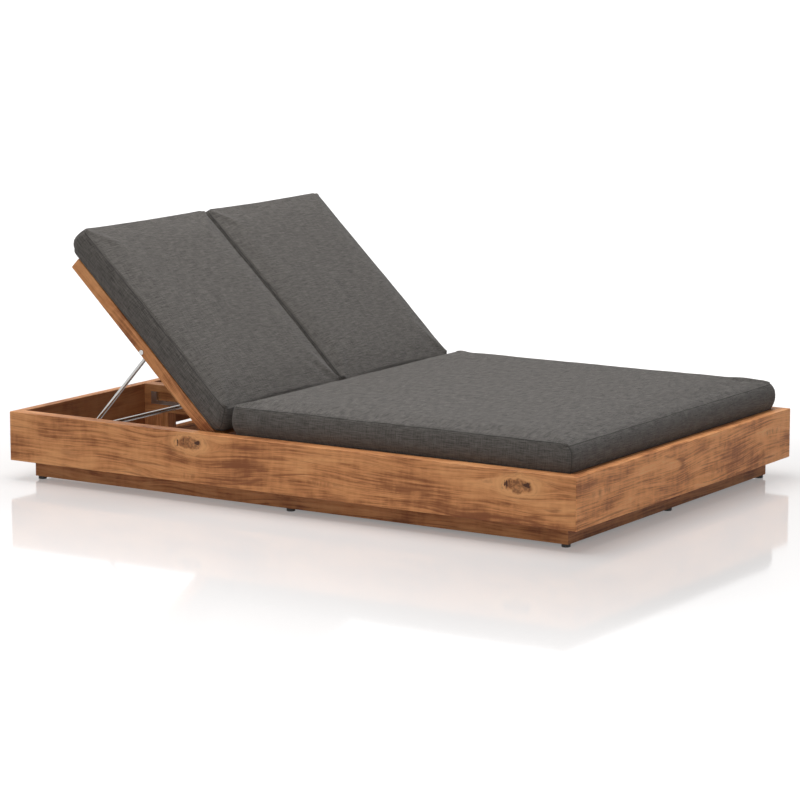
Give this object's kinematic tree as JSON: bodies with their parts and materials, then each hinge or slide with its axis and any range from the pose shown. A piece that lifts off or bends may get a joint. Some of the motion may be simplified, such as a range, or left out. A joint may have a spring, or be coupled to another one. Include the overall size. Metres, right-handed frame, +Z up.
{
  "type": "double chaise lounger",
  "caption": "Low wide outdoor lounger: mitred timber tray on a recessed plinth, slatted deck with box cushions, and reclining backs held up by steel props in notched racks.",
  "frame": {"origin": "on the floor under the middle of the lounger's bounding box", "axes": "+Z up, +Y along the lounger from the foot end to the head end, +X across, so left is -X as seen from the foot end"},
  "size_m": [1.344, 2, 0.7923],
  "materials": {
    "teak": "oiled medium brown teak with streaks and knots",
    "teak_inner": "unfinished inner teak",
    "cushion_fabric": "dark warm charcoal slub weave",
    "stainless": "polished stainless steel",
    "fasteners": "satin stainless steel",
    "glide": "black nylon"
  },
  "bodies": {
    "frame": {"foot_board": "teak", "head_board": "teak", "left_side_board": "teak", "right_side_board": "teak", "foot_plinth": "teak", "head_plinth": "teak", "left_plinth": "teak", "right_plinth": "teak", "centre_beam": "teak", "centre_plinth": "teak_inner", "left_base_ledger": "teak_inner", "right_base_ledger": "teak_inner", "foot_base_ledger": "teak_inner", "left_deck_ledger": "teak_inner", "right_deck_ledger": "teak_inner", "foot_deck_ledger": "teak_inner", "foot_corner_blocks": "teak_inner", "head_corner_blocks": "teak_inner", "centre_joist": "teak_inner", "hinge_bearer": "teak_inner", "centre_post": "teak_inner", "left_rack_rail": "teak_inner", "right_rack_rail": "teak_inner", "deck_slats": "teak_inner", "left_outer_rack": "stainless", "left_inner_rack": "stainless", "right_inner_rack": "stainless", "right_outer_rack": "stainless", "rack_screws": "fasteners", "deck_screws": "fasteners", "hinge_bolts": "fasteners", "hinge_spacers": "fasteners", "feet": "glide", "seat_cushion": "cushion_fabric"},
    "left_back": {"left_back_outer_rail": "teak", "left_back_inner_rail": "teak", "left_back_bottom_rail": "teak", "left_back_top_rail": "teak", "left_back_slats": "teak", "left_back_cushion": "cushion_fabric", "left_prop_bolts": "fasteners", "left_prop_spacers": "fasteners", "left_prop_nuts": "fasteners"},
    "left_prop": {"left_prop_crossbar": "stainless", "left_prop_legs": "stainless"},
    "right_back": {"right_back_outer_rail": "teak", "right_back_inner_rail": "teak", "right_back_bottom_rail": "teak", "right_back_top_rail": "teak", "right_back_slats": "teak", "right_back_cushion": "cushion_fabric", "right_prop_bolts": "fasteners", "right_prop_spacers": "fasteners", "right_prop_nuts": "fasteners"},
    "right_prop": {"right_prop_crossbar": "stainless", "right_prop_legs": "stainless"}
  },
  "joints": [
    {"name": "left_recline", "type": "hinge", "parent": "frame", "child": "left_back", "pos_m": [-0.3248, 0.25213, 0.178], "axis": [1, 0, 0], "range_deg": [-20, 10]},
    {"name": "left_prop_swing", "type": "hinge", "parent": "left_back", "child": "left_prop", "pos_m": [-0.3248, 0.52739, 0.42991], "axis": [1, 0, 0], "range_deg": [-21.8, 43.5]},
    {"name": "right_recline", "type": "hinge", "parent": "frame", "child": "right_back", "pos_m": [0.3248, 0.25213, 0.178], "axis": [1, 0, 0], "range_deg": [-20, 10]},
    {"name": "right_prop_swing", "type": "hinge", "parent": "right_back", "child": "right_prop", "pos_m": [0.3248, 0.52739, 0.42991], "axis": [1, 0, 0], "range_deg": [-21.8, 43.5]}
  ],
  "couplings": [
    {"joint": "left_prop_swing", "follows": "left_recline", "ratio": -2.17},
    {"joint": "right_prop_swing", "follows": "right_recline", "ratio": -2.17}
  ]
}
